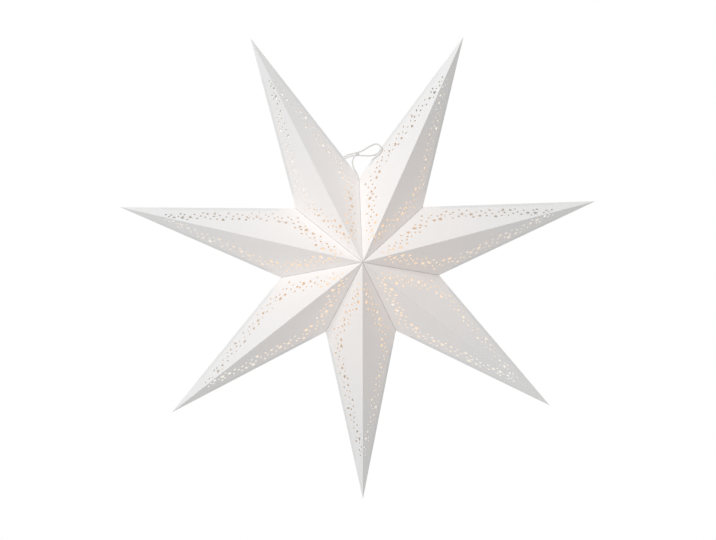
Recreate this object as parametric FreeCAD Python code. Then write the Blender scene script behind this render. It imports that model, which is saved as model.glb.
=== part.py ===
import FreeCAD, Part
import math
import os
from FreeCAD import Placement, Rotation, Vector

# Folding paper star shade with seven arms, hung on a small screw-cap lampholder.
# Millimetres. The front is -Y, +Z is up, and the origin is the centre of the cord
# inlet's mouth at the top of the lampholder. "Left" and "right" of an arm are as
# seen from the front with that arm's tip turned up.

# ---- Driving dimensions of the star -------------------------------------------
arm_count = 7
tip_radius = 300.0            # star centre to an arm's tip
notch_radius = 100.0          # star centre to a notch between two arms
half_depth = 80.0             # middle plane to the front or back centre
card = 0.4                    # thickness of the card
crease_gap = 0.1              # slit between two panels along a scored crease

flap_width = 7.0              # glue flap inside each front panel's outer edge
flap_tip_margin = 46.0        # the flap stops this far from the tip
flap_notch_margin = 16.0      # and this far from the notch

# ---- Perforated band: a lane of star cut-outs on every panel --------------------
band_inset = 17.0             # centre line's distance from the outer edge and valley
band_width = 16.0             # spread of the cut-outs about that line
band_tip_margin = 58.0        # the band starts this far from the tip
band_bend_radius = 34.0       # the centre line's bend at the notch
band_heart_margin = 26.0      # and stops this far from the front or back centre
band_start_taper = 60.0       # the band widens from its start over this length
band_end_taper = 24.0         # and narrows to its end over this one
hole_pitch = 3.3              # step along the centre line from cut-out to cut-out
large_first = 6               # this cut-out is a large star,
large_every = 12              # and so is every twelfth one after it
large_star = 7.4              # tip to tip
star_waist = 0.45             # inner radius over outer radius
star_points = 5

# ---- Cord hole and the two string holes at the top notch ------------------------
cord_hole_radius = 3.7
string_hole_radius = 2.8          # through the crease of the arm's outer edge
string_hole_from_notch = 30.0     # along that edge

# ---- Lampholder -----------------------------------------------------------------
inlet_below_notch = 12.0      # mouth of the cord inlet below the notch
inlet_radius = 3.2
inlet_length = 12.0
seat_gap = 0.3                # between pieces that rest on each other
wall = 1.6                    # moulded walls
fit_gap = 0.12                # between pieces that screw or slide together

gland_radius = 5.6
gland_spigot_radius = 4.5
cap_radius = 13.4
cap_round = 1.5
cap_height = 21.0
cap_collar_wall = 2.0         # threaded collar inside the cap, round the gland's spigot
skirt_spigot_height = 6.0
skirt_height = 31.0

grip_length = 17.0
grip_width = 6.0
grip_height = 5.0
grip_screw_radius = 1.25
grip_screw_spacing = 11.6
grip_screw_end = 1.6          # both ends together, out of the bars
grip_squeeze = 0.5            # the bars' way is this much smaller than the inlet

wire_room = 2.4               # between the cord grip and the terminal block
block_radius = 9.6
block_height = 8.0
terminal_depth = 4.0
terminal_screw_radius = 1.5
terminal_spacing = 11.0
shell_radius = 7.9            # outside of the screw shell
shell_wall = 0.35
shell_height = 19.0
thread_clearance = 0.25       # inside the shell, all round the bulb's cap
contact_width = 4.0
contact_drop = 3.0            # of the strip's free end below the block
contact_thickness = 0.5

# ---- Bulb -------------------------------------------------------------------------
bulb_radius = 22.5
bulb_neck_radius = 10.2
bulb_wall = 0.8
bulb_cap_radius = 7.0
bulb_cap_height = 17.0
bulb_cap_wall = 0.3
rim_radius = 4.6              # hole in the cap's end, filled by the insulator
insulator_height = 2.2
tip_contact_radius = 2.2
tip_height = 1.2
glass_in_cap_length = 3.0
glass_flat_radius = 2.4       # at the bottom of the globe
glass_sides = 32
bulb_travel_gap = 0.4         # between the bulb's contact and the sprung contact
emitter_radius = 5.2
emitter_thickness = 1.6
stem_radius = 3.0
stem_length = 24.0

# ---- Tie string ---------------------------------------------------------------------
string_diameter = 2.0
string_sides = 6
knot_length = 6.4
knot_radius = 2.7

# ---- Values worked out from the dimensions above ----------------------------------
half_pitch = math.pi / arm_count
star_centre = Vector(0, 0, inlet_below_notch - notch_radius)
up = Vector(0, 0, 1)

os.makedirs("parts", exist_ok=True)


def save(node, shape):
    shape.exportStep("parts/" + node + ".step")


def group(solids):
    return Part.makeCompound(solids)


# =====================================================================================
# Geometry of one panel: the front right panel of an arm whose tip points straight up.
# It is worked out about the star's centre, and placed by mirrors and a turn about Y.
# =====================================================================================
tip = Vector(0, 0, tip_radius)
notch = Vector(math.sin(half_pitch), 0, math.cos(half_pitch)) * notch_radius
heart = Vector(0, -half_depth, 0)

outward = (notch - tip).cross(heart - tip).normalize()
if outward.y > 0:
    outward = -outward
along_edge = (notch - tip).normalize()
across = -outward.cross(along_edge).normalize()
if across.dot(heart - tip) < 0:
    across = -across
edge_length = (notch - tip).Length
valley_length = (heart - notch).Length
valley_turn = math.atan2((heart - notch).dot(across), (heart - notch).dot(along_edge))
lean = math.asin(-across.y)       # a panel's slope off the star's middle plane


def on_panel(u, v, depth):
    """A point u along the outer edge from the tip, v in from it, and depth inside."""
    return tip + along_edge * u + across * v - outward * depth


def plane(normal, distance):
    return (normal, distance)


def meet(first, second, third):
    """The point where three planes meet."""
    (a, da), (b, db), (c, dc) = first, second, third
    return (b.cross(c) * da + c.cross(a) * db + a.cross(b) * dc) / a.dot(b.cross(c))


ridge_cut = plane(Vector(1, 0, 0), crease_gap / 2)
edge_cut = plane(Vector(0, 1, 0), -crease_gap / 2)
valley_cut = plane(Vector(math.cos(half_pitch), 0, -math.sin(half_pitch)), -crease_gap / 2)


def sheet_level(depth):
    return plane(outward, outward.dot(tip) - depth)


def closed_wire(points):
    return Part.makePolygon(list(points) + [points[0]])


def panel_outline(depth):
    level = sheet_level(depth)
    return closed_wire([
        meet(level, ridge_cut, edge_cut),
        meet(level, edge_cut, valley_cut),
        meet(level, valley_cut, ridge_cut),
    ])


def mitred_panel():
    """The card triangle, its edges cut so that it meets its neighbours face to face."""
    return Part.makeLoft([panel_outline(0), panel_outline(card)], True, True)


def glue_flap():
    """The folded-in strip of a second layer of card along the outer edge."""
    def strip(depth):
        low = (crease_gap / 2 + depth * math.cos(lean)) / math.sin(lean)
        near, far = flap_tip_margin, edge_length - flap_notch_margin
        corners = [(near, low), (far, low), (far - flap_width, flap_width),
                   (near + 2 * flap_width, flap_width)]
        return closed_wire([on_panel(u, v, depth) for u, v in corners])
    return Part.makeLoft([strip(card), strip(2 * card)], True, True)


# The band's centre line: beside the outer edge, round the notch, beside the valley crease.
band_corner = band_inset * math.tan(valley_turn / 2)
band_trim = band_bend_radius * math.tan(valley_turn / 2)
band_first_leg = edge_length - band_corner - band_trim - band_tip_margin
band_bend = band_bend_radius * valley_turn
band_last_leg = valley_length - band_corner - band_trim - band_heart_margin
band_length = band_first_leg + band_bend + band_last_leg


def along_band(distance, offset):
    """A point on the panel at a distance along the band's centre line and an offset
    across it, where a positive offset lies towards the arm's ridge."""
    if distance <= band_first_leg:
        return band_tip_margin + distance, band_inset + offset
    turned = min((distance - band_first_leg) / band_bend_radius, valley_turn)
    radius = band_bend_radius - offset
    u = band_tip_margin + band_first_leg + radius * math.sin(turned)
    v = band_inset + band_bend_radius - radius * math.cos(turned)
    past = max(distance - band_first_leg - band_bend, 0)
    return u + past * math.cos(valley_turn), v + past * math.sin(valley_turn)


def band_places():
    """Every cut-out's number, distance along the band and offset across it."""
    golden = (math.sqrt(5) - 1) / 2
    for number in range(int(band_length / hole_pitch) + 1):
        distance = number * hole_pitch
        share = (number * golden) % 1
        widening = min(1, 0.35 + distance / band_start_taper)
        narrowing = min(1, 0.15 + (band_length - distance) / band_end_taper)
        yield number, distance, band_width * ((share * narrowing) - 0.5) * widening


def star_outline(u, v, size, turn, depth):
    """A five-pointed star on the panel."""
    points = []
    for step in range(2 * star_points):
        radius = size / 2 * (star_waist if step % 2 else 1)
        angle = turn + math.pi * step / star_points
        points.append(on_panel(u + radius * math.cos(angle), v + radius * math.sin(angle), depth))
    return closed_wire(points)


def punch(outline):
    """A punch through the card for an outline drawn one card above it."""
    return Part.Face(outline).extrude(-outward * 3 * card)


def large_star_punches():
    punches = []
    for number, distance, offset in band_places():
        if number % large_every == large_first:
            u, v = along_band(distance, offset)
            punches.append(punch(star_outline(u, v, large_star, number, -card)))
    return punches


def string_hole_punch():
    """Through the outer edge's crease, square to it, where the tie string comes out."""
    into_arm = Vector(across.x, 0, across.z).normalize()
    start = on_panel(edge_length - string_hole_from_notch, 0, 0) - into_arm * string_hole_radius
    return Part.makeCylinder(string_hole_radius, 3 * string_hole_radius, start, into_arm)


# The front panel has the flap, and the back panel is the plain one.
punched = mitred_panel().cut(large_star_punches())
punched_with_flap = punched.fuse(glue_flap()).removeSplitter()


def arm_angle(arm):
    """Clockwise from straight up as seen from the front."""
    return (2 * arm - 1) * half_pitch


def placed_panel(arm, face, side):
    beside_seam = (arm, side) in ((1, "left"), (arm_count, "right"))
    shape = punched if face == "back" else punched_with_flap
    if (arm, side) == (arm_count, "right"):
        shape = shape.cut(string_hole_punch())
    if side == "left":
        shape = shape.mirror(Vector(0, 0, 0), Vector(1, 0, 0))
    if face == "back":
        shape = shape.mirror(Vector(0, 0, 0), Vector(0, 1, 0))
    turn = Rotation(Vector(0, 1, 0), math.degrees(arm_angle(arm)))
    shape = shape.transformGeometry(Placement(star_centre, turn).toMatrix())
    if beside_seam:
        foot = star_centre + up * (notch_radius - 4 * cord_hole_radius)
        shape = shape.cut(Part.makeCylinder(cord_hole_radius, 8 * cord_hole_radius, foot, up))
    return shape


for arm in range(1, arm_count + 1):
    for face in ("front", "back"):
        for side in ("left", "right"):
            save("arm_%d_%s_%s" % (arm, face, side), placed_panel(arm, face, side))


# =====================================================================================
# Lampholder, from the cord inlet downwards. Round pieces are turned about Z from
# half outlines given as (radius, height) points.
# =====================================================================================
def turned(profile):
    points = [Vector(radius, 0, height) for radius, height in profile]
    return Part.Face(closed_wire(points)).revolve(Vector(0, 0, 0), up, 360)


# The star's front and back valley creases rest on the cap's shoulder, so the cap's
# height follows from how wide the star is there, inside the card.
valley_slope = half_depth / notch_radius
card_below_notch = card / outward.dot(notch / notch_radius)
shoulder_half_width = cap_radius + seat_gap / math.cos(math.atan(valley_slope))
shoulder_z = inlet_below_notch - card_below_notch - shoulder_half_width / valley_slope
cap_top = shoulder_z + cap_round
cap_bottom = cap_top - cap_height


def gland_nut():
    """Ring nut that carries the cord inlet; its spigot screws into the cap."""
    return turned([
        (inlet_radius, -inlet_length), (gland_spigot_radius, -inlet_length),
        (gland_spigot_radius, cap_top + fit_gap), (gland_radius, cap_top + fit_gap),
        (gland_radius, 0), (inlet_radius, 0),
    ])


def lampholder_cap():
    """Moulded cap; the star's valley creases rest on its shoulder."""
    inner = cap_radius - wall
    hole = gland_spigot_radius + fit_gap
    collar = hole + cap_collar_wall
    return turned([
        (hole, cap_top), (cap_radius - cap_round, cap_top), (cap_radius, shoulder_z),
        (cap_radius, cap_bottom), (inner, cap_bottom), (inner, cap_top - wall),
        (collar, cap_top - wall), (collar, -inlet_length), (hole, -inlet_length),
    ])


skirt_top = cap_bottom - fit_gap
skirt_bottom = skirt_top - skirt_height


grip_top = -inlet_length - seat_gap


def cord_grip():
    """Two clamp bars across the cord; their screws pass through slots open at the ends."""
    foot = grip_top - grip_height
    slot_width = 2 * (grip_screw_radius + fit_gap)
    slot_length = (grip_length - grip_screw_spacing + slot_width) / 2
    cord_way = Part.makeCylinder(inlet_radius - grip_squeeze, grip_height, Vector(0, 0, foot), up)
    bars = []
    for y in (fit_gap, -fit_gap - grip_width):
        bar = Part.makeBox(grip_length, grip_width, grip_height, Vector(-grip_length / 2, y, foot))
        slots = [Part.makeBox(slot_length, grip_width, slot_width,
                              Vector(x, y, foot + (grip_height - slot_width) / 2))
                 for x in (-grip_length / 2, grip_length / 2 - slot_length)]
        bars.append(bar.cut([cord_way] + slots))
    return group(bars)


def cord_grip_screws():
    length = 2 * (grip_width + fit_gap) + grip_screw_end
    return group([
        Part.makeCylinder(grip_screw_radius, length,
                          Vector(x, -length / 2, grip_top - grip_height / 2), Vector(0, 1, 0))
        for x in (-grip_screw_spacing / 2, grip_screw_spacing / 2)])


block_top = grip_top - grip_height - wire_room
block_bottom = block_top - block_height


def terminal_block():
    """Moulded insulator with a square well for each conductor."""
    block = Part.makeCylinder(block_radius, block_height, Vector(0, 0, block_bottom), up)
    side = 2 * (terminal_screw_radius + fit_gap)
    wells = [Part.makeBox(side, side, terminal_depth,
                          Vector(x - side / 2, -side / 2, block_top - terminal_depth))
             for x in (-terminal_spacing / 2, terminal_spacing / 2)]
    return block.cut(wells)


def terminal_screws():
    """Headless screws down in the wells."""
    return group([
        Part.makeCylinder(terminal_screw_radius, terminal_depth,
                          Vector(x, 0, block_top - terminal_depth), up)
        for x in (-terminal_spacing / 2, terminal_spacing / 2)])


shell_bottom = block_bottom - shell_height


def screw_shell():
    """Rolled brass shell with a rim held between the block and the skirt's ledge."""
    return turned([
        (shell_radius - shell_wall, shell_bottom), (shell_radius, shell_bottom),
        (shell_radius, block_bottom - shell_wall), (block_radius, block_bottom - shell_wall),
        (block_radius, block_bottom), (shell_radius - shell_wall, block_bottom),
    ])


def centre_contact():
    """Sprung brass strip: flat under the block, then bent down to the middle."""
    reach = shell_radius - shell_wall - 0.8
    top = block_bottom
    line = [(-reach, top), (-reach + 3, top), (1.5, top - contact_drop + contact_thickness),
            (2.6, top - contact_drop + contact_thickness + 0.6)]
    back = [(x, height - contact_thickness) for x, height in reversed(line)]
    outline = [Vector(x, -contact_width / 2, height) for x, height in line + back]
    return Part.Face(closed_wire(outline)).extrude(Vector(0, contact_width, 0))


# The skirt's ledge comes right under the shell's rim.
ledge_top = block_bottom - shell_wall


def lampholder_skirt():
    """Lower body; its spigot screws up into the cap, and a ledge inside holds the block."""
    inner = cap_radius - wall
    spigot = inner - fit_gap
    bore = spigot - wall
    ledge = shell_radius + fit_gap
    return turned([
        (bore, skirt_top + skirt_spigot_height), (spigot, skirt_top + skirt_spigot_height),
        (spigot, skirt_top), (cap_radius, skirt_top), (cap_radius, skirt_bottom),
        (inner, skirt_bottom), (inner, ledge_top - wall), (ledge, ledge_top - wall),
        (ledge, ledge_top), (bore, ledge_top),
    ])


save("gland_nut", gland_nut())
save("lampholder_cap", lampholder_cap())
save("lampholder_skirt", lampholder_skirt())
save("cord_grip", cord_grip())
save("cord_grip_screws", cord_grip_screws())
save("terminal_block", terminal_block())
save("terminal_screws", terminal_screws())
save("screw_shell", screw_shell())
save("centre_contact", centre_contact())


# =====================================================================================
# Bulb: a round frosted globe whose middle is the star's centre.
# =====================================================================================
tip_top = block_bottom - contact_drop - bulb_travel_gap
bulb_cap_top = tip_top - tip_height - insulator_height
bulb_cap_bottom = bulb_cap_top - bulb_cap_height
glass_in_cap = bulb_cap_radius - bulb_cap_wall - fit_gap
driver_radius = glass_in_cap - bulb_wall - fit_gap


def bulb_cap():
    side = bulb_cap_radius - bulb_cap_wall
    return turned([
        (rim_radius, bulb_cap_top), (bulb_cap_radius, bulb_cap_top),
        (bulb_cap_radius, bulb_cap_bottom), (side, bulb_cap_bottom),
        (side, bulb_cap_top - bulb_cap_wall), (rim_radius, bulb_cap_top - bulb_cap_wall),
    ])


def bulb_insulator():
    """Dark glass cone between the cap's rim and the tip."""
    foot = bulb_cap_top - bulb_cap_wall
    top = bulb_cap_top + insulator_height
    return turned([(0, foot), (rim_radius, foot), (rim_radius, bulb_cap_top),
                   (tip_contact_radius, top), (0, top)])


def bulb_tip():
    """Solder contact with its edge taken off."""
    foot = bulb_cap_top + insulator_height
    half = tip_height / 2
    return turned([(0, foot), (tip_contact_radius, foot), (tip_contact_radius, foot + half),
                   (tip_contact_radius - half, tip_top), (0, tip_top)])


def glass_outline(inset, rings):
    """Half outline of the glass, from the cap down to a small flat at the bottom."""
    radius = bulb_radius - inset
    neck = bulb_neck_radius - inset
    first = math.asin(1.15 * neck / radius)
    last = math.pi - math.asin(glass_flat_radius / radius)
    globe = [first + (last - first) * ring / rings for ring in range(rings + 1)]
    return ([(glass_in_cap - inset, bulb_cap_bottom + glass_in_cap_length),
             (glass_in_cap - inset, bulb_cap_bottom - 0.6), (neck, bulb_cap_bottom - 6)]
            + [(radius * math.sin(angle), star_centre.z + radius * math.cos(angle))
               for angle in globe])


def bulb_glass():
    """A thin shell made in flat facets, which keeps the globe light."""
    profile = list(reversed(glass_outline(0, 9))) + glass_outline(bulb_wall, 7)
    turns = [2 * math.pi * side / glass_sides for side in range(glass_sides)]
    rings = [[Vector(radius * math.cos(turn), radius * math.sin(turn), height) for turn in turns]
             for radius, height in profile]
    faces = [Part.Face(closed_wire(rings[0])), Part.Face(closed_wire(rings[-1]))]
    for low, high in zip(rings, rings[1:]):
        for side in range(glass_sides):
            following = (side + 1) % glass_sides
            faces.append(Part.Face(closed_wire([low[side], low[following],
                                                high[following], high[side]])))
    return Part.makeSolid(Part.makeShell(faces))


def bulb_driver():
    """Potted supply in the cap, with the stem that carries the emitter."""
    top = bulb_cap_top - bulb_cap_wall
    return turned([
        (0, emitter_top), (stem_radius, emitter_top), (stem_radius, bulb_cap_bottom + 1),
        (driver_radius, bulb_cap_bottom + 1), (driver_radius, top), (0, top),
    ])


def bulb_emitter():
    foot = Vector(0, 0, emitter_top - emitter_thickness)
    return Part.makeCylinder(emitter_radius, emitter_thickness, foot, up)


emitter_top = bulb_cap_bottom - stem_length

save("bulb_cap", bulb_cap())
save("bulb_insulator", bulb_insulator())
save("bulb_tip", bulb_tip())
save("bulb_glass", bulb_glass())
save("bulb_driver", bulb_driver())
save("bulb_emitter", bulb_emitter())


# =====================================================================================
# Tie string. Points are chosen by hand, about the star's centre. Both ends of the loop
# come out of the hole in arm 7's outer edge, and the knot holds the strands together.
# =====================================================================================
loop_route = [
    (-21.3, 0.0, 122.9), (-14.5, -2.0, 127.3), (-2.5, -7.0, 129.3), (5.0, -7.6, 132.2),
    (13.5, -8.0, 137.5), (22.0, -8.0, 141.0), (28.5, -8.0, 135.5), (24.5, -8.0, 128.5),
    (15.0, -8.0, 125.4), (5.0, -7.6, 126.0), (-2.5, -7.0, 126.8), (-13.6, -2.0, 124.9),
    (-19.9, 0.0, 121.1),
]
tail_route = [
    (-4.6, -9.2, 126.4), (-8.6, -10.2, 120.5), (-8.0, -10.2, 113.5), (-4.6, -9.0, 107.0),
    (-1.8, -7.4, 101.5), (-0.6, -5.6, 96.5),
]
knot_place = (-2.5, -7.0, 128.05)


def string_tube(name, route):
    """Straight runs joined by tangent arcs, swept with a six-sided section."""
    points = [star_centre + Vector(*place) for place in route]
    edges, start, radii = [], points[0], []
    for before, corner, after in zip(points, points[1:], points[2:]):
        back, ahead = (before - corner), (after - corner)
        shorter = min(back.Length, ahead.Length)
        back.normalize()
        ahead.normalize()
        half_turn = (math.pi - back.getAngle(ahead)) / 2
        cut = 0.45 * shorter
        radii.append(cut / math.tan(half_turn))
        first, last = corner + back * cut, corner + ahead * cut
        middle = (back + ahead).normalize()
        centre_distance = radii[-1] / math.cos(half_turn)
        crown = corner + middle * (centre_distance - radii[-1])
        edges.append(Part.LineSegment(start, first).toShape())
        edges.append(Part.Arc(first, crown, last).toShape())
        start = last
    edges.append(Part.LineSegment(start, points[-1]).toShape())
    path = Part.Wire(edges)
    along = (points[1] - points[0]).normalize()
    side = along.cross(up).normalize()
    rise = side.cross(along)
    radius = string_diameter / 2
    corners = []
    for step in range(string_sides):
        angle = 2 * math.pi * step / string_sides
        corners.append(points[0] + side * radius * math.cos(angle) + rise * radius * math.sin(angle))
    tube = path.makePipeShell([closed_wire(corners)], True, True)
    section = string_sides / 2 * math.sin(2 * math.pi / string_sides) * radius ** 2
    expected = section * path.Length
    print("%s: length %.1f, radii %.1f to %.1f, volume over section x length %.4f" % (
        name, path.Length, min(radii), max(radii), tube.Volume / expected))
    return tube


def tie_knot():
    """The outer shape of the overhand knot about both strands: a barrel with cone ends."""
    centre = star_centre + Vector(*knot_place)
    half = knot_length / 2
    waist = knot_radius * 0.7
    profile = [(0, -half), (waist, -half), (knot_radius, -half / 2), (knot_radius, half / 2),
               (waist, half), (0, half)]
    knot = turned(profile)
    knot.rotate(Vector(0, 0, 0), Vector(0, 1, 0), 90)
    knot.translate(centre)
    return knot


save("tie_string", string_tube("tie_string", loop_route))
save("tie_tail", string_tube("tie_tail", tail_route))
save("tie_knot", tie_knot())
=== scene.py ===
import math
import random

import bmesh
import bpy
from mathutils import Matrix, Vector


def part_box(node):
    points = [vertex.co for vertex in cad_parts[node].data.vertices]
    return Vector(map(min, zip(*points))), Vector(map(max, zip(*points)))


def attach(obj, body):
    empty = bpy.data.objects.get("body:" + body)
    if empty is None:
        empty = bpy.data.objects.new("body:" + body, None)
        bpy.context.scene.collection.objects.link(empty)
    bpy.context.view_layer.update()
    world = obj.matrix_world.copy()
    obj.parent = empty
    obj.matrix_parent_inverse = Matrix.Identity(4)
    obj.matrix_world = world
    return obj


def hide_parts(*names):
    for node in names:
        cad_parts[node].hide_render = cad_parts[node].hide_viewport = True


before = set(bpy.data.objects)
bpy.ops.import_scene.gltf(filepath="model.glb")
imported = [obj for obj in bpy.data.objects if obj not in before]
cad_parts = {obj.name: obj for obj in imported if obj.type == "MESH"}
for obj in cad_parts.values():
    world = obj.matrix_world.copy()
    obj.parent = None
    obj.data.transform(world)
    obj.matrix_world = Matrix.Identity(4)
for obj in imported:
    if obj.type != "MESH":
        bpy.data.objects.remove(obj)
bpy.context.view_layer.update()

# =====================================================================================
# Sizes, in metres. The front is -Y and +Z is up; the star hangs about star_centre.
# =====================================================================================
star_centre = Vector((0, 0, -0.088))
arm_count = 7
half_pitch = math.pi / arm_count
tip_radius = 0.300            # star centre to an arm's tip
notch_radius = 0.100          # star centre to a notch between two arms
half_depth = 0.080            # middle plane to the front or back centre
card = 0.0004                 # thickness of the card
crease_gap = 0.000006         # slit between two panels along a crease
crease_shade_width = 0.0005          # width of the painted shade along a valley crease
trim_growth = 1.05            # a panel is this much larger before its creases are cut
trim_margin = 0.0012          # and its flap this much wider

# The glue flap inside each front panel's outer edge
flap_width = 0.007
flap_shade_width = 0.005       # the painted shade over it on the outside
flap_tip_margin = 0.046       # the flap stops this far from the tip
flap_notch_margin = 0.016     # and this far from the notch
flap_gap = 0.000008           # between the panel and its flap

# The perforated band, a lane of cut-outs on every panel
band_inset = 0.017            # centre line's distance from the outer edge and valley
band_width = 0.016            # spread of the cut-outs about that line
band_tip_margin = 0.058       # the band starts this far from the tip
band_bend_radius = 0.034      # the centre line's bend at the notch
band_heart_margin = 0.026     # and stops this far from the front or back centre
band_start_share = 0.35       # share of its width that it has at its start
band_start_taper = 0.060      # and length in which it would widen by all of it
band_end_share = 0.15         # the same at its end, where it keeps to the crease's side
band_end_taper = 0.024
hole_pitch = 0.0033           # step along the centre line from cut-out to cut-out
hole_sizes = (0.0026, 0.0036, 0.0028, 0.0056, 0.0022, 0.0030,
              0.0074, 0.0026, 0.0036, 0.0064, 0.0024, 0.0046)
large_place = 6               # the large stars don't stray: the solids have them too
round_below = 0.0033          # the smaller cut-outs are dots
star_waist = 0.45             # inner radius over outer radius
star_points = 5
stray_along = 0.0017          # how far a cut-out strays, at most
stray_across = 0.0019
stray_seed = 3209

# The holes at the top notch
cord_hole_radius = 0.0037
string_hole_radius = 0.0028
string_hole_from_notch = 0.030
bite_steps = 12

# The tie string and its knot
string_diameter = 0.002
strand_count = 3
strand_share = 0.27           # a strand's radius over the string's diameter
strand_pitch = 0.0052         # one turn of a strand
knot_length = 0.0064
knot_radius = 0.00175         # of the coil, at the knot's middle
knot_string_radius = 0.00095  # of the string, where it is drawn tight
knot_turns = 2.4

# The lampholder and the bulb, where the boxes of their solids don't give the size
wall = 0.0016                 # moulded walls
fit_gap = 0.00012             # between pieces that screw together
inlet_radius = 0.0032
inlet_length = 0.012
gland_spigot_radius = 0.0045
cap_collar_wall = 0.002       # collar inside the cap, round the gland's spigot
shell_radius = 0.0079         # outside of the screw shell
shell_wall = 0.00035
bulb_cap_wall = 0.0003
rim_radius = 0.0046           # hole in the bulb cap's end, filled by the insulator
thread_pitch = 0.00282
thread_depth = 0.0003
bulb_radius = 0.0225
bulb_neck_radius = 0.0102
bulb_throat_radius = 0.00658  # of the glass inside its cap
bulb_wall = 0.0008

# The two soft lights, in watts, and the world about them
key_direction = Vector((-0.38, -0.8, 0.49))
key_power = 39
behind_direction = Vector((0.45, 0.78, 0.42))
behind_power = 24
lit_above = 0.35              # cosine above which an inner face looks towards a light and gets the painted-lit inside
light_distance = 3.0
light_size = 1.0
ambient_strength = 0.49
floor_height = -1.3
floor_reach = 3.0


# =====================================================================================
# Camera, at the photograph's angle
# =====================================================================================
def add_camera():
    yaw, pitch, roll = math.radians(2.1), math.radians(3.3), math.radians(-0.69)
    distance = 1.7
    data = bpy.data.cameras.new("camera")
    data.lens = 69.4
    data.sensor_width = 36
    data.shift_x = -0.0028
    data.shift_y = -0.0163
    camera = bpy.data.objects.new("camera", data)
    bpy.context.scene.collection.objects.link(camera)
    turned_to_view = (Matrix.Rotation(roll, 3, "Y") @ Matrix.Rotation(pitch, 3, "X")
                      @ Matrix.Rotation(yaw, 3, "Z")).transposed()
    right, ahead, above = (turned_to_view @ Vector(axis)
                           for axis in ((1, 0, 0), (0, 1, 0), (0, 0, 1)))
    place = star_centre - ahead * distance
    camera.matrix_world = Matrix((
        (right.x, above.x, -ahead.x, place.x),
        (right.y, above.y, -ahead.y, place.y),
        (right.z, above.z, -ahead.z, place.z),
        (0, 0, 0, 1)))
    bpy.context.scene.camera = camera


add_camera()


# =====================================================================================
# Materials
# =====================================================================================
class Finish:
    """A node material with a Principled shader, its patterns on Object coordinates."""

    def __init__(self, name, colour, roughness):
        self.material = bpy.data.materials.new(name)
        self.material.use_nodes = True
        self.nodes = self.material.node_tree.nodes
        self.links = self.material.node_tree.links
        self.shader = self.nodes["Principled BSDF"]
        self.shader.inputs["Base Color"].default_value = (*colour, 1)
        self.shader.inputs["Roughness"].default_value = roughness
        self.place = self.nodes.new("ShaderNodeTexCoord").outputs["Object"]

    def node(self, kind, **settings):
        made = self.nodes.new(kind)
        for key, value in settings.items():
            setattr(made, key, value)
        return made

    def noise(self, scale, detail=3, stretch=(1, 1, 1)):
        mapping = self.node("ShaderNodeMapping")
        mapping.inputs["Scale"].default_value = stretch
        pattern = self.node("ShaderNodeTexNoise")
        pattern.inputs["Scale"].default_value = scale
        pattern.inputs["Detail"].default_value = detail
        self.links.new(self.place, mapping.inputs["Vector"])
        self.links.new(mapping.outputs["Vector"], pattern.inputs["Vector"])
        return pattern.outputs["Fac"]

    def ramp(self, value, stops):
        ramp = self.node("ShaderNodeValToRGB")
        elements = ramp.color_ramp.elements
        while len(elements) < len(stops):
            elements.new(0.5)
        for element, (position, colour) in zip(elements, stops):
            element.position = position
            element.color = (*colour, 1)
        self.links.new(value, ramp.inputs["Fac"])
        return ramp.outputs["Color"]

    def colour_between(self, value, dark, light):
        self.links.new(self.ramp(value, [(0.3, dark), (0.7, light)]),
                       self.shader.inputs["Base Color"])

    def roughness_between(self, value, low, high):
        spread = self.node("ShaderNodeMapRange")
        spread.inputs["To Min"].default_value = low
        spread.inputs["To Max"].default_value = high
        self.links.new(value, spread.inputs["Value"])
        self.links.new(spread.outputs["Result"], self.shader.inputs["Roughness"])

    def bump(self, value, depth, strength=0.5):
        bump = self.node("ShaderNodeBump")
        bump.inputs["Distance"].default_value = depth
        bump.inputs["Strength"].default_value = strength
        self.links.new(value, bump.inputs["Height"])
        self.links.new(bump.outputs["Normal"], self.shader.inputs["Normal"])

    def from_point(self, point, near, far):
        """0 at the near distance from a point of the row frame, 1 at the far one."""
        apart = self.node("ShaderNodeVectorMath", operation="DISTANCE")
        apart.inputs[1].default_value = point
        spread = self.node("ShaderNodeMapRange")
        spread.inputs["From Min"].default_value = near
        spread.inputs["From Max"].default_value = far
        self.links.new(self.place, apart.inputs[0])
        self.links.new(apart.outputs["Value"], spread.inputs["Value"])
        return spread.outputs["Result"]

    def glow(self, value, stops, strength):
        self.links.new(self.ramp(value, stops), self.shader.inputs["Emission Color"])
        self.shader.inputs["Emission Strength"].default_value = strength


def card_finish(name, colour, darkest, lightest, roughness=0.8, specular=0.3):
    """Matte card with a fine tooth."""
    finish = Finish(name, colour, roughness)
    finish.shader.inputs["Specular IOR Level"].default_value = specular
    tooth = finish.noise(700, 3)
    finish.colour_between(tooth, darkest, lightest)
    finish.bump(tooth, 0.00003, 0.15)
    return finish


def white_card_outside():
    """The outer face, with a painted warm glow near the star's middle for the lamp's light through
    the card.
    """
    finish = card_finish("white_card_outside", (0.93, 0.93, 0.925),
                         (0.925, 0.924, 0.92), (0.94, 0.939, 0.935))
    # painted glow: warm emission near the star's middle, for the lamp's light coming through the
    # card
    finish.glow(finish.from_point(star_centre, 0.05, 0.24),
                [(0, (0.06, 0.026, 0.01)), (0.5, (0.034, 0.015, 0.007)), (1, (0, 0, 0))], 1)
    return finish.material


def flap_shade_card():
    """Painted shade on the strip over the glue flap, where two cards would let less of the lamp
    through.
    """
    return card_finish("flap_shade_card", (0.893, 0.891, 0.885),
                       (0.886, 0.884, 0.878), (0.9, 0.898, 0.892)).material


def crease_shade_card():
    """Painted shade along a valley crease, where two panels meet at a tight angle."""
    finish = Finish("crease_shade_card", (0.7, 0.69, 0.68), 0.85)
    finish.colour_between(finish.noise(500, 2), (0.66, 0.65, 0.64), (0.76, 0.75, 0.74))
    return finish.material


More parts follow.
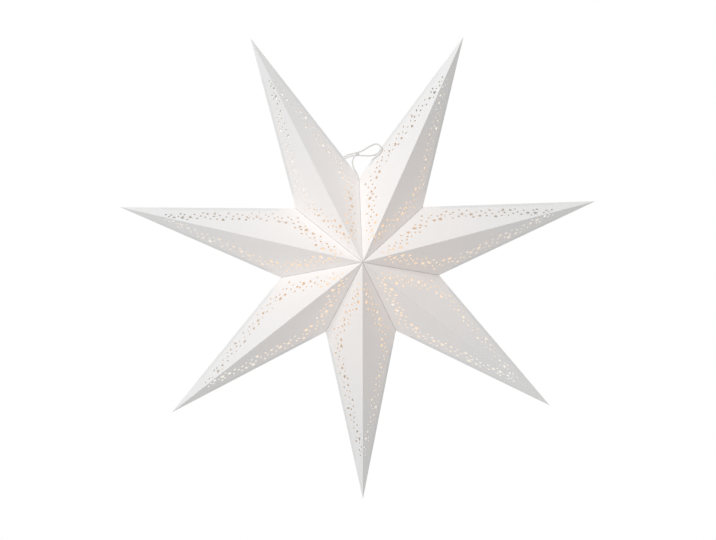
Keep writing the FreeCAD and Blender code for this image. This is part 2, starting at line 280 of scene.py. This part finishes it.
def white_card_inside(name, glow):
    """The inner face, with a painted glow for the lamp's light and the light that comes through
    the card.
    """
    # Painted shade: the inner face's colour is half the card's white, so the painted glow sets how
    # bright the inside looks.
    finish = card_finish(name, (0.5, 0.492, 0.48), (0.49, 0.482, 0.47), (0.51, 0.502, 0.49),
                         roughness=0.85, specular=0.2)
    finish.glow(finish.from_point(star_centre, 0.05, 0.25), glow, 1)
    return finish.material


def cotton_string():
    finish = Finish("cotton_string", (0.84, 0.83, 0.81), 0.95)
    fibre = finish.noise(4000, 3, (1, 1, 0.4))
    finish.colour_between(fibre, (0.72, 0.71, 0.69), (0.88, 0.875, 0.86))
    finish.bump(fibre, 0.00008, 0.6)
    finish.shader.inputs["Sheen Weight"].default_value = 0.3
    finish.shader.inputs["Sheen Roughness"].default_value = 0.6
    return finish.material


def moulded_plastic(name, colour, roughness):
    """Moulded plastic with a faint spark texture and flow marks."""
    finish = Finish(name, colour, roughness)
    flow = finish.noise(60, 2, (1, 1, 0.3))
    finish.colour_between(flow, tuple(channel * 0.97 for channel in colour), colour)
    finish.roughness_between(flow, roughness - 0.06, roughness + 0.08)
    finish.bump(finish.noise(2500, 2), 0.00003, 0.3)
    return finish.material


def rolled_metal(name, colour, roughness, tarnish):
    """Sheet metal with drawing marks round it and a little tarnish."""
    finish = Finish(name, colour, roughness)
    finish.shader.inputs["Metallic"].default_value = 1
    marks = finish.noise(700, 3, (0.15, 0.15, 3))
    finish.colour_between(finish.noise(180, 3), tarnish, colour)
    finish.roughness_between(marks, roughness - 0.08, roughness + 0.12)
    finish.bump(marks, 0.00002, 0.35)
    return finish.material


def unglazed_ceramic():
    finish = Finish("insulator_ceramic", (0.87, 0.85, 0.79), 0.75)
    finish.colour_between(finish.noise(300, 4), (0.82, 0.8, 0.74), (0.9, 0.88, 0.83))
    finish.bump(finish.noise(1800, 3), 0.00004, 0.4)
    return finish.material


def black_cap_glass():
    finish = Finish("bulb_cap_glass", (0.02, 0.02, 0.025), 0.12)
    finish.roughness_between(finish.noise(400, 2), 0.08, 0.22)
    finish.shader.inputs["Coat Weight"].default_value = 0.4
    return finish.material


def frosted_glass():
    """Opal coat lit from inside, dimmer towards the neck."""
    finish = Finish("frosted_glass", (0.82, 0.8, 0.75), 0.42)
    finish.shader.inputs["Transmission Weight"].default_value = 0.15
    finish.bump(finish.noise(1500, 2), 0.00002, 0.25)
    finish.glow(finish.from_point(star_centre, 0.022, 0.05),
                [(0, (1, 0.64, 0.32)), (1, (0.6, 0.34, 0.15))], 0.3)
    return finish.material


def phosphor():
    finish = Finish("emitter_phosphor", (0.95, 0.78, 0.3), 0.6)
    finish.colour_between(finish.noise(2500, 2), (0.85, 0.66, 0.2), (0.96, 0.82, 0.36))
    return finish.material


outside = white_card_outside()
flap_shade = flap_shade_card()
crease_shade = crease_shade_card()
# Two copies of the inside with painted glows: a dim one, and a lit one for faces that a light
# would reach through the card.
painted_dim_inside = white_card_inside("white_card_inside", [
    (0, (0.34, 0.19, 0.095)), (0.3, (0.2, 0.12, 0.065)), (0.6, (0.08, 0.055, 0.035)),
    (1, (0.02, 0.018, 0.015))])
painted_lit_inside = white_card_inside("white_card_inside_lit", [
    (0, (0.66, 0.47, 0.31)), (0.3, (0.6, 0.47, 0.35)), (0.6, (0.56, 0.51, 0.44)),
    (1, (0.54, 0.53, 0.5))])
cotton = cotton_string()
holder_plastic = moulded_plastic("holder_plastic", (0.88, 0.88, 0.86), 0.38)
brass = (0.82, 0.62, 0.3)
bulb_nickel = rolled_metal("bulb_cap_nickel", (0.72, 0.71, 0.68), 0.32, (0.6, 0.58, 0.54))
frost = frosted_glass()
node_finishes = {
    "cord_grip": moulded_plastic("grip_plastic", (0.8, 0.8, 0.77), 0.5),
    "cord_grip_screws": rolled_metal("screw_steel", (0.66, 0.66, 0.67), 0.3, (0.5, 0.5, 0.5)),
    "terminal_block": unglazed_ceramic(),
    "terminal_screws": rolled_metal("screw_brass", brass, 0.3, (0.6, 0.42, 0.2)),
    "screw_shell": rolled_metal("shell_brass", brass, 0.28, (0.66, 0.47, 0.22)),
    "centre_contact": rolled_metal("contact_brass", (0.8, 0.63, 0.33), 0.25, (0.62, 0.45, 0.22)),
    "bulb_insulator": black_cap_glass(),
    "bulb_tip": rolled_metal("bulb_tip_solder", (0.55, 0.56, 0.57), 0.45, (0.38, 0.38, 0.4)),
    "bulb_driver": moulded_plastic("driver_plastic", (0.86, 0.86, 0.83), 0.45),
    "bulb_emitter": phosphor(),
}


# =====================================================================================
# Shared steps for a finished piece
# =====================================================================================
def placed(name, mesh):
    """An object at the origin for a mesh that holds its own place."""
    piece = bpy.data.objects.new(name, mesh)
    bpy.context.scene.collection.objects.link(piece)
    return piece


def finished(name, bm, materials, smooth_below=None):
    """A piece from a bmesh, with edges kept sharp above an angle in degrees."""
    mesh = bpy.data.meshes.new(name)
    bm.to_mesh(mesh)
    bm.free()
    for material in materials:
        mesh.materials.append(material)
    if smooth_below is not None:
        mesh.shade_smooth()
        mesh.set_sharp_from_angle(angle=math.radians(smooth_below))
    return placed(name, mesh)


def stand_for(piece, node, body):
    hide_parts(node)
    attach(piece, body)


# =====================================================================================
# Card panels. Each is laid out flat as u along the outer edge from the tip and v in from
# it, stamped, given its thickness, stood up on the arm that points straight up, trimmed
# to its mitred creases, and turned to its own arm.
# =====================================================================================
tip = Vector((0, 0, tip_radius))
notch = Vector((math.sin(half_pitch), 0, math.cos(half_pitch))) * notch_radius
heart = Vector((0, -half_depth, 0))
along_edge = (notch - tip).normalized()
outward = (heart - tip).cross(notch - tip).normalized()
if outward.y > 0:
    outward = -outward
across = along_edge.cross(outward).normalized()
edge_length = (notch - tip).length
valley_length = (heart - notch).length
valley_turn = math.atan2((heart - notch).dot(across), (heart - notch).dot(along_edge))
lean = math.asin(-across.y)
stood_up = Matrix((
    (along_edge.x, across.x, outward.x, tip.x),
    (along_edge.y, across.y, outward.y, tip.y),
    (along_edge.z, across.z, outward.z, tip.z),
    (0, 0, 0, 1)))

# The ridge, the outer edge and the valley, where the mitred panel is cut: a point on
# the cut, and which way it looks.
past_valley = Vector((math.cos(half_pitch), 0, -math.sin(half_pitch)))
creases = (
    (Vector((crease_gap / 2, 0, 0)), Vector((-1, 0, 0))),
    (Vector((0, -crease_gap / 2, 0)), Vector((0, 1, 0))),
    (past_valley * -crease_gap / 2, past_valley),
)

# Places in a panel's list of finishes, which starts with the outer face's own
# The last two hold the painted shade over the glue flap and the painted shade along the valley
# crease.
inside_place, flap_shade_place, crease_shade_place = 1, 2, 3

# The perforated band's centre line: beside the outer edge, round the notch, and beside
# the valley crease.
band_corner = band_inset * math.tan(valley_turn / 2)
band_trim = band_bend_radius * math.tan(valley_turn / 2)
band_first_leg = edge_length - band_corner - band_trim - band_tip_margin
band_bend = band_bend_radius * valley_turn
band_last_leg = valley_length - band_corner - band_trim - band_heart_margin
band_length = band_first_leg + band_bend + band_last_leg


def along_band(distance, offset):
    """A flat place at a distance along the band and an offset across it."""
    if distance <= band_first_leg:
        return band_tip_margin + distance, band_inset + offset
    turned = min((distance - band_first_leg) / band_bend_radius, valley_turn)
    radius = band_bend_radius - offset
    u = band_tip_margin + band_first_leg + radius * math.sin(turned)
    v = band_inset + band_bend_radius - radius * math.cos(turned)
    past = max(distance - band_first_leg - band_bend, 0)
    return u + past * math.cos(valley_turn), v + past * math.sin(valley_turn)


def star_cut_outs(bm):
    """Every cut-out of the band as a loop of edges: stars, with round dots among them.

    The golden ratio spreads them across the band, and each is turned a radian further.
    """
    golden = (math.sqrt(5) - 1) / 2
    stray = random.Random(stray_seed)
    for number in range(int(band_length / hole_pitch) + 1):
        distance = number * hole_pitch
        share = (number * golden) % 1
        widening = min(1, band_start_share + distance / band_start_taper)
        narrowing = min(1, band_end_share + (band_length - distance) / band_end_taper)
        offset = band_width * (share * narrowing - 0.5) * widening
        along, across_it = stray.uniform(-1, 1), stray.uniform(-1, 1)
        if number % len(hole_sizes) != large_place:
            distance += along * stray_along
            offset += across_it * stray_across * widening
        u, v = along_band(distance, offset)
        size = hole_sizes[number % len(hole_sizes)]
        star = bmesh.ops.create_circle(bm, segments=2 * star_points, radius=size / 2)["verts"]
        if size > round_below:
            bmesh.ops.scale(bm, vec=(star_waist, star_waist, 1), verts=star[1::2])
        turned = Matrix.Rotation(number - math.pi / 2, 3, "Z")
        bmesh.ops.rotate(bm, matrix=turned, verts=star)
        bmesh.ops.translate(bm, vec=(u, v, 0), verts=star)


def string_bite():
    """The half hole in the outer edge where the tie string comes out, as flat points."""
    middle = edge_length - string_hole_from_notch
    spill = math.radians(35)
    for step in range(bite_steps + 1):
        turn = math.pi + spill - step * (math.pi + 2 * spill) / bite_steps
        yield (middle + string_hole_radius * math.cos(turn),
               string_hole_radius / math.sin(lean) * math.sin(turn))


def cord_bite():
    """The notch's corner taken off round the supply cord's way, as flat points."""
    upright = notch.normalized()
    spill = math.radians(25)
    first, last = math.pi + spill, valley_turn - spill
    for step in range(bite_steps + 1):
        turn = first + (last - first) * step / bite_steps
        ray = along_edge * math.cos(turn) + across * math.sin(turn)
        reach = cord_hole_radius / math.sqrt(1 - ray.dot(upright) ** 2)
        yield edge_length + reach * math.cos(turn), reach * math.sin(turn)


def card_outline(with_cord, with_string):
    """The flat triangle with a margin that the creases trim off."""
    corners = [Vector((0, 0)), Vector((edge_length, 0)),
               Vector((edge_length + valley_length * math.cos(valley_turn),
                       valley_length * math.sin(valley_turn)))]
    middle = sum(corners, Vector((0, 0))) / 3
    grown = [middle + (corner - middle) * trim_growth for corner in corners]
    outline = [grown[0]]
    if with_string:
        outline += string_bite()
    if with_cord:
        outline += cord_bite()
    else:
        outline.append(grown[1])
    return outline + [grown[2]]


def loop_of_edges(bm, points, height=0.0):
    """Flat points joined into a closed loop at one height."""
    verts = [bm.verts.new((u, v, height)) for u, v in points]
    for start, end in zip(verts, verts[1:] + verts[:1]):
        bm.edges.new((start, end))
    return verts


def thicken(bm, faces):
    """Gives faces one card's thickness, downwards."""
    lower = bmesh.ops.extrude_face_region(bm, geom=faces, use_keep_orig=True)["geom"]
    lower_verts = [item for item in lower if isinstance(item, bmesh.types.BMVert)]
    bmesh.ops.translate(bm, vec=(0, 0, -card), verts=lower_verts)


def mark_within(bm, cuts, finish_place):
    """Splits the flat card at each cut, a point and the way in, and marks what lies inside."""
    inner = bm.faces[:]
    for number, (point, way_in) in enumerate(cuts, 1):
        edges = dict.fromkeys(edge for item in inner for edge in item.edges)
        verts = dict.fromkeys(vert for item in inner for vert in item.verts)
        bmesh.ops.bisect_plane(bm, geom=[*verts, *edges, *inner], plane_co=point,
                               plane_no=way_in)
        inner = [item for item in bm.faces
                 if all((item.calc_center_median() - Vector(at)).dot(Vector(into)) > 0
                        for at, into in cuts[:number])]
    for item in inner:
        item.material_index = finish_place


def paint_flap_shade(bm):
    """Paints shade on the strip along the outer edge, over the glue flap below."""
    start, end = flap_tip_margin, edge_length - flap_notch_margin
    mark_within(bm, [((0, flap_shade_width, 0), (0, -1, 0)),
                     ((start, 0, 0), (1, -2, 0)),
                     ((end, 0, 0), (-1, -1, 0))], flap_shade_place)


def paint_crease_shade(bm):
    """Paints shade along the valley crease."""
    to_valley = Vector((math.sin(valley_turn), -math.cos(valley_turn), 0))
    crease_end = Vector((edge_length, 0, 0))
    mark_within(bm, [(crease_end - to_valley * crease_shade_width, to_valley)], crease_shade_place)


def glue_flap(bm, with_string):
    """The folded-in strip under a front panel's outer edge."""
    start, end = flap_tip_margin, edge_length - flap_notch_margin
    points = [(start, -trim_margin)]
    if with_string:
        points += string_bite()
    points += [(end, -trim_margin), (end - flap_width, flap_width),
               (start + 2 * flap_width, flap_width)]
    strip = bm.faces.new(loop_of_edges(bm, points, -card - flap_gap))
    strip.material_index = inside_place
    thicken(bm, [strip])


def flat_card(face, with_cord, with_string):
    """The stamped card with its finishes, and its flap where it is a front panel."""
    bm = bmesh.new()
    loop_of_edges(bm, card_outline(with_cord, with_string))
    star_cut_outs(bm)
    bmesh.ops.triangle_fill(bm, use_beauty=True, edges=bm.edges[:])
    bmesh.ops.recalc_face_normals(bm, faces=bm.faces)
    # painted shade on the strip over the glue flap
    if face == "front":
        paint_flap_shade(bm)
    # painted shade along the valley crease
    paint_crease_shade(bm)
    outer = bm.faces[:]
    thicken(bm, outer)
    for item in set(bm.faces) - set(outer):
        item.material_index = inside_place
    if face == "front":
        glue_flap(bm, with_string)
    return bm


def trim_to_creases(bm):
    """Cuts the stood-up panel along its three creases and closes the cuts."""
    for point, away in creases:
        cut = bmesh.ops.bisect_plane(bm, geom=bm.verts[:] + bm.edges[:] + bm.faces[:],
                                     plane_co=point, plane_no=away, clear_outer=True)
        rim = [item for item in cut["geom_cut"] if isinstance(item, bmesh.types.BMEdge)]
        for item in bmesh.ops.holes_fill(bm, edges=rim, sides=0)["faces"]:
            item.material_index = inside_place


def mirror_scale(face, side):
    """The scale that makes any of an arm's four panels of its front right one."""
    return Vector((-1 if side == "left" else 1, -1 if face == "back" else 1, 1))


def arm_turn(arm):
    return Matrix.Rotation((2 * arm - 1) * half_pitch, 3, "Y")


def card_panel(arm, face, side):
    """One panel of the star, at its own place in the row frame."""
    at_seam = (arm, side) in ((1, "left"), (arm_count, "right"))
    bm = flat_card(face, with_cord=at_seam, with_string=at_seam and arm == arm_count)
    bmesh.ops.transform(bm, matrix=stood_up, verts=bm.verts)
    trim_to_creases(bm)
    bmesh.ops.scale(bm, vec=mirror_scale(face, side), verts=bm.verts)
    to_arm = Matrix.Translation(star_centre) @ arm_turn(arm).to_4x4()
    bmesh.ops.transform(bm, matrix=to_arm, verts=bm.verts)
    bmesh.ops.recalc_face_normals(bm, faces=bm.faces)
    return bm


def painted_inside_finish(arm, face, side):
    """The painted-lit inside where one of the soft lights would fall on the panel's inner face,
    the painted-dim one elsewhere.
    """
    inward = arm_turn(arm) @ -(outward * mirror_scale(face, side))
    facing = max(inward.dot(light.normalized()) for light in (key_direction, behind_direction))
    return painted_lit_inside if facing > lit_above else painted_dim_inside


for arm in range(1, arm_count + 1):
    for face in ("front", "back"):
        for side in ("left", "right"):
            node = "arm_%d_%s_%s" % (arm, face, side)
            # each panel's inside gets its painted glow, lit or dim
            panel = finished("card_" + node, card_panel(arm, face, side),
                             [outside, painted_inside_finish(arm, face, side), flap_shade, crease_shade])
            stand_for(panel, node, node)


# =====================================================================================
# Lampholder and bulb
# =====================================================================================
def turned_bmesh(profile, steps=64):
    """A half outline of (radius, height) points, closed on itself, spun round Z."""
    bm = bmesh.new()
    weld = 0.000001
    verts = [bm.verts.new((radius, 0, height)) for radius, height in profile]
    edges = [bm.edges.new((start, end)) for start, end in zip(verts, verts[1:] + verts[:1])]
    bmesh.ops.spin(bm, geom=verts + edges, axis=(0, 0, 1), cent=(0, 0, 0), angle=2 * math.pi,
                   steps=steps, use_merge=True)
    bmesh.ops.remove_doubles(bm, verts=bm.verts, dist=weld)
    bmesh.ops.recalc_face_normals(bm, faces=bm.faces)
    return bm


def ribbed(bm, radius, low, high, count, depth):
    """Presses shallow grip grooves into the side between two heights that stay round."""
    near = 0.00001
    for vert in bm.verts:
        on_side = abs(vert.co.xy.length - radius) < near
        if on_side and low + near < vert.co.z < high - near:
            turn = math.atan2(vert.co.y, vert.co.x)
            shrink = 1 - depth * max(0, math.cos(turn * count)) ** 2 / radius
            vert.co.x *= shrink
            vert.co.y *= shrink


def rounded_top(radius, height, size, steps=4):
    """A rounded outer corner of a half outline, from the side up to the top."""
    for step in range(steps + 1):
        turn = math.pi / 2 * step / steps
        yield (radius - size * (1 - math.cos(turn)), height - size * (1 - math.sin(turn)))


def sizes_of(node):
    """The radius, foot and top of a round node that stands on the row frame's axis."""
    low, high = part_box(node)
    return high.x, low.z, high.z


def gland_nut():
    """Ribbed nut with a rounded head, on a spigot that goes down into the cap."""
    radius, low, high = sizes_of("gland_nut")
    shoulder = sizes_of("lampholder_cap")[2] + fit_gap
    rounding, plain_foot, mouth_bevel = 0.001, 0.0005, 0.0004
    foot, grip_top, grip_steps = shoulder + plain_foot, high - rounding, 4
    profile = [(inlet_radius, low), (gland_spigot_radius, low),
               (gland_spigot_radius, shoulder), (radius, shoulder)]
    profile += [(radius, foot + (grip_top - foot) * step / grip_steps)
                for step in range(grip_steps)]
    profile += rounded_top(radius, high, rounding)
    profile += [(inlet_radius + mouth_bevel, high), (inlet_radius, high - mouth_bevel)]
    bm = turned_bmesh(profile, 96)
    ribbed(bm, radius, foot, grip_top, count=16, depth=0.0003)
    return bm


def lampholder_cap():
    """Ribbed cup, open below, with a collar inside for the gland nut's spigot."""
    radius, low, high = sizes_of("lampholder_cap")
    inner, ceiling = radius - wall, high - wall
    collar_bore = gland_spigot_radius + fit_gap
    collar = collar_bore + cap_collar_wall
    plain_foot, foot_bevel, foot_fade = 0.0006, 0.0003, 0.0006
    plain_top, top_fade, rounding = high - 0.0035, 0.001, 0.0015
    profile = [(radius - foot_bevel, low), (inner, low), (inner, ceiling), (collar, ceiling),
               (collar, -inlet_length), (collar_bore, -inlet_length), (collar_bore, high)]
    profile += reversed(list(rounded_top(radius, high, rounding, 6)))
    profile += [(radius, plain_top), (radius, plain_top - top_fade),
                (radius, low + plain_foot + foot_fade), (radius, low + plain_foot)]
    bm = turned_bmesh(profile, 144)
    ribbed(bm, radius, low + plain_foot, plain_top, count=24, depth=0.00035)
    return bm


def lampholder_skirt():
    """Sleeve with a spigot up into the cap, a groove round it, and the block's ledge."""
    radius, low, high = sizes_of("lampholder_skirt")
    top = sizes_of("lampholder_cap")[1] - fit_gap
    inner = radius - wall
    spigot = inner - fit_gap
    bore = spigot - wall
    ledge_top = sizes_of("screw_shell")[2] - shell_wall
    ledge_bore = shell_radius + fit_gap
    top_bevel, foot_height, foot_taper = 0.0003, 0.0022, 0.0006
    groove_top, groove_step, groove_depth = top - 0.006, 0.0006, 0.0004
    return turned_bmesh([
        (bore, high), (spigot, high), (spigot, top), (radius - top_bevel, top),
        (radius, top - top_bevel), (radius, groove_top),
        (radius - groove_depth, groove_top - groove_step),
        (radius - groove_depth, groove_top - 2 * groove_step),
        (radius, groove_top - 3 * groove_step), (radius, low + foot_height),
        (radius - foot_taper, low), (inner, low), (inner, ledge_top - wall),
        (ledge_bore, ledge_top - wall), (ledge_bore, ledge_top), (bore, ledge_top)], 96)


def rolled_thread(radius, start, end):
    """One wave of the sheet, spun round and up as a helix."""
    bm = bmesh.new()
    steps_up, steps_round, weld = 8, 48, 0.00001
    verts = []
    for step in range(int((end - start - thread_pitch) / thread_pitch * steps_up) + 1):
        crest = (1 + math.cos(2 * math.pi * step / steps_up)) / 2
        verts.append(bm.verts.new((radius - thread_depth * (1 - crest), 0,
                                   start + thread_pitch * step / steps_up)))
    edges = [bm.edges.new(pair) for pair in zip(verts, verts[1:])]
    bmesh.ops.spin(bm, geom=verts + edges, axis=(0, 0, 1), cent=(0, 0, 0), angle=2 * math.pi,
                   dvec=(0, 0, thread_pitch / steps_round), steps=steps_round,
                   use_merge=False)
    bmesh.ops.remove_doubles(bm, verts=bm.verts, dist=weld)
    bmesh.ops.recalc_face_normals(bm, faces=bm.faces)
    return bm


def bulb_cap():
    """Rolled screw cap: a threaded sleeve between its shaped end and its foot ring."""
    radius, low, high = sizes_of("bulb_cap")
    foot_height, thread_top, end_height = 0.0006, 0.0032, 0.0036
    sleeve = radius - thread_depth - bulb_cap_wall
    bm = rolled_thread(radius, low + bulb_cap_wall, high - thread_top)
    bmesh.ops.solidify(bm, geom=bm.faces[:], thickness=bulb_cap_wall)
    shaped_end = turned_bmesh([
        (rim_radius, high), (radius - 0.001, high), (radius - 0.0002, high - 0.0009),
        (radius, high - end_height / 2), (radius, high - end_height),
        (sleeve, high - end_height), (sleeve, high - 0.0015),
        (radius - 0.0013, high - bulb_cap_wall), (rim_radius, high - bulb_cap_wall)])
    foot_ring = turned_bmesh([
        (sleeve, low), (radius, low), (radius, low + foot_height), (sleeve, low + foot_height)])
    for other in (shaped_end, foot_ring):
        mesh = bpy.data.meshes.new("joined")
        other.to_mesh(mesh)
        other.free()
        bm.from_mesh(mesh)
        bpy.data.meshes.remove(mesh)
    return bm


def glass_side(inset, steps):
    """Half the glass from its throat in the cap down to its pole, set in by a wall.

    The neck is given by (radius, height over the cap's foot).
    """
    cap_foot = sizes_of("bulb_cap")[1]
    throat, neck = bulb_throat_radius, bulb_neck_radius
    neck_line = ((throat, 0.003), (throat, -0.0004), (throat + 0.0006, -0.0022),
                 (neck - 0.0008, -0.0046), (neck, -0.0064))
    globe_radius = bulb_radius - inset
    shoulder_over_neck, turn_before_pole, pole_radius = 1.15, 0.05, 0.00001
    first = math.asin(shoulder_over_neck * (neck - inset) / globe_radius)
    last = math.pi - turn_before_pole
    points = [(radius - inset, cap_foot + height) for radius, height in neck_line]
    for step in range(steps + 1):
        turn = first + (last - first) * step / steps
        points.append((globe_radius * math.sin(turn),
                       star_centre.z + globe_radius * math.cos(turn)))
    return points + [(pole_radius, star_centre.z - globe_radius)]


def bulb_glass():
    """Blown globe with a short neck, smooth inside and out."""
    outer, inner = glass_side(0, 28), glass_side(bulb_wall, 20)
    return turned_bmesh(outer + inner[::-1], 72)


for name, build, body, material, slot, smooth in (
        ("gland_nut", gland_nut, "lampholder", holder_plastic, "holder_plastic", 30),
        ("lampholder_cap", lampholder_cap, "lampholder", holder_plastic, "holder_plastic", 30),
        ("lampholder_skirt", lampholder_skirt, "lampholder", holder_plastic, "holder_plastic", 30),
        ("bulb_cap", bulb_cap, "bulb", bulb_nickel, "bulb_cap_nickel", 60),
        ("bulb_glass", bulb_glass, "bulb", frost, "frosted_glass", 60)):
    piece = finished("shaped_" + name, build(), [material], smooth)
    stand_for(piece, name, body)

for name, material in node_finishes.items():
    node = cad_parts[name]
    node.data.materials.clear()
    node.data.materials.append(material)


# =====================================================================================
# Tie string: a loop out of the hole in the seventh arm's edge, its knot and its tail
# =====================================================================================
loop_route = [
    (-0.0213, 0.0, 0.1229), (-0.0145, -0.002, 0.1273), (-0.0025, -0.007, 0.1293),
    (0.005, -0.0076, 0.1322), (0.0135, -0.008, 0.1375), (0.022, -0.008, 0.141),
    (0.0285, -0.008, 0.1355), (0.0245, -0.008, 0.1285), (0.015, -0.008, 0.1254),
    (0.005, -0.0076, 0.126), (-0.0025, -0.007, 0.1268), (-0.0136, -0.002, 0.1249),
    (-0.0199, 0.0, 0.1211),
]
tail_route = [
    (-0.0046, -0.0092, 0.1264), (-0.0086, -0.0102, 0.1205), (-0.008, -0.0102, 0.1135),
    (-0.0046, -0.009, 0.107), (-0.0018, -0.0074, 0.1015), (-0.0006, -0.0056, 0.0965),
]
knot_place = Vector((-0.0025, -0.007, 0.12805))


def smooth_line(route):
    """Points along the route's smooth spline."""
    data = bpy.data.curves.new("route", "CURVE")
    data.dimensions = "3D"
    spline = data.splines.new("NURBS")
    spline.points.add(len(route) - 1)
    for point, place in zip(spline.points, route):
        point.co = (*(star_centre + Vector(place)), 1)
    spline.order_u = 3
    spline.use_endpoint_u = True
    data.resolution_u = 16
    holder = bpy.data.objects.new("route", data)
    mesh = bpy.data.meshes.new_from_object(holder)
    line = [vert.co.copy() for vert in mesh.vertices]
    bpy.data.objects.remove(holder)
    bpy.data.curves.remove(data)
    bpy.data.meshes.remove(mesh)
    return line


def cotton_piece(name, lines, radius):
    """Round strands of cotton along lines of points, with closed ends."""
    data = bpy.data.curves.new(name, "CURVE")
    data.dimensions = "3D"
    data.bevel_depth = radius
    data.bevel_resolution = 1
    data.fill_mode = "FULL"
    data.use_fill_caps = True
    for line in lines:
        spline = data.splines.new("POLY")
        spline.points.add(len(line) - 1)
        for point, place in zip(spline.points, line):
            point.co = (*place, 1)
    holder = bpy.data.objects.new(name, data)
    mesh = bpy.data.meshes.new_from_object(holder)
    bpy.data.objects.remove(holder)
    bpy.data.curves.remove(data)
    mesh.materials.append(cotton)
    mesh.shade_smooth()
    return placed(name, mesh)


def laid_string(name, line):
    """Three strands laid round the line."""
    strand_radius = string_diameter * strand_share
    lay_radius = string_diameter / 2 - strand_radius
    strands = [[] for strand in range(strand_count)]
    length = 0.0
    for index, place in enumerate(line):
        before, after = line[max(index - 1, 0)], line[min(index + 1, len(line) - 1)]
        length += (place - before).length
        ahead = after - before
        side = ahead.cross(Vector((0, 1, 0))).normalized()
        other = side.cross(ahead).normalized()
        for number, strand in enumerate(strands):
            turn = 2 * math.pi * (length / strand_pitch + number / strand_count)
            strand.append(place + (side * math.cos(turn) + other * math.sin(turn)) * lay_radius)
    return cotton_piece(name, strands, strand_radius)


def knot():
    """Some two turns of the string drawn tight round both strands, tighter at both ends."""
    steps, end_share, string_ends = 60, 0.75, 2.2
    coil_length = knot_length - string_ends * knot_string_radius
    line = []
    for step in range(steps + 1):
        share = step / steps
        turn = 2 * math.pi * knot_turns * share
        coil = knot_radius * (end_share + (1 - end_share) * math.sin(math.pi * share))
        line.append(star_centre + knot_place + Vector((
            (share - 0.5) * coil_length, coil * math.cos(turn), coil * math.sin(turn))))
    return cotton_piece("tie_knot_turns", [line], knot_string_radius)


string_body = "arm_%d_front_right" % arm_count
tight_knot = knot()
stand_for(tight_knot, "tie_knot", string_body)

loop_line = smooth_line(loop_route)
tail_line = smooth_line(tail_route)
loop_string = laid_string("tie_string_strands", loop_line)
tail_string = laid_string("tie_tail_strands", tail_line)
stand_for(loop_string, "tie_string", string_body)
stand_for(tail_string, "tie_tail", string_body)


# =====================================================================================
# Stage and light
# =====================================================================================
def seen_white(tree, shader):
    """White where the camera, gloss or glass sees it, and the given shader otherwise."""
    path = tree.nodes.new("ShaderNodeLightPath")
    seen = path.outputs["Is Camera Ray"]
    for ray in ("Is Glossy Ray", "Is Transmission Ray"):
        either = tree.nodes.new("ShaderNodeMath")
        either.operation = "MAXIMUM"
        tree.links.new(seen, either.inputs[0])
        tree.links.new(path.outputs[ray], either.inputs[1])
        seen = either.outputs[0]
    white = tree.nodes.new("ShaderNodeBackground" if shader.type == "BACKGROUND"
                           else "ShaderNodeEmission")
    white.inputs["Color"].default_value = (1, 1, 1, 1)
    white.inputs["Strength"].default_value = 1
    mix = tree.nodes.new("ShaderNodeMixShader")
    tree.links.new(seen, mix.inputs["Fac"])
    tree.links.new(shader.outputs[0], mix.inputs[1])
    tree.links.new(white.outputs[0], mix.inputs[2])
    return mix.outputs[0]


def add_world():
    world = bpy.data.worlds.new("studio")
    world.use_nodes = True
    tree = world.node_tree
    sky = tree.nodes["Background"]
    sky.inputs["Color"].default_value = (1, 0.985, 0.97, 1)
    sky.inputs["Strength"].default_value = ambient_strength
    tree.links.new(seen_white(tree, sky), tree.nodes["World Output"].inputs["Surface"])
    bpy.context.scene.world = world


def add_floor():
    bm = bmesh.new()
    bmesh.ops.create_grid(bm, x_segments=1, y_segments=1, size=floor_reach,
                          matrix=Matrix.Translation((0, 0, floor_height)))
    material = bpy.data.materials.new("studio_floor")
    material.use_nodes = True
    tree = material.node_tree
    ground = tree.nodes["Principled BSDF"]
    ground.inputs["Base Color"].default_value = (0.8, 0.8, 0.8, 1)
    ground.inputs["Roughness"].default_value = 0.9
    tree.links.new(seen_white(tree, ground), tree.nodes["Material Output"].inputs["Surface"])
    finished("studio_floor", bm, [material])


def add_soft_light(name, direction, power):
    data = bpy.data.lights.new(name, "AREA")
    data.shape = "DISK"
    data.size = light_size
    data.energy = power
    data.color = (0.955, 0.975, 1)
    light = bpy.data.objects.new(name, data)
    bpy.context.scene.collection.objects.link(light)
    light.location = star_centre + direction.normalized() * light_distance
    light.rotation_euler = direction.to_track_quat("Z", "Y").to_euler()


add_world()
add_floor()
add_soft_light("key", key_direction, key_power)
add_soft_light("behind", behind_direction, behind_power)
bpy.context.scene.view_settings.view_transform = "Standard"
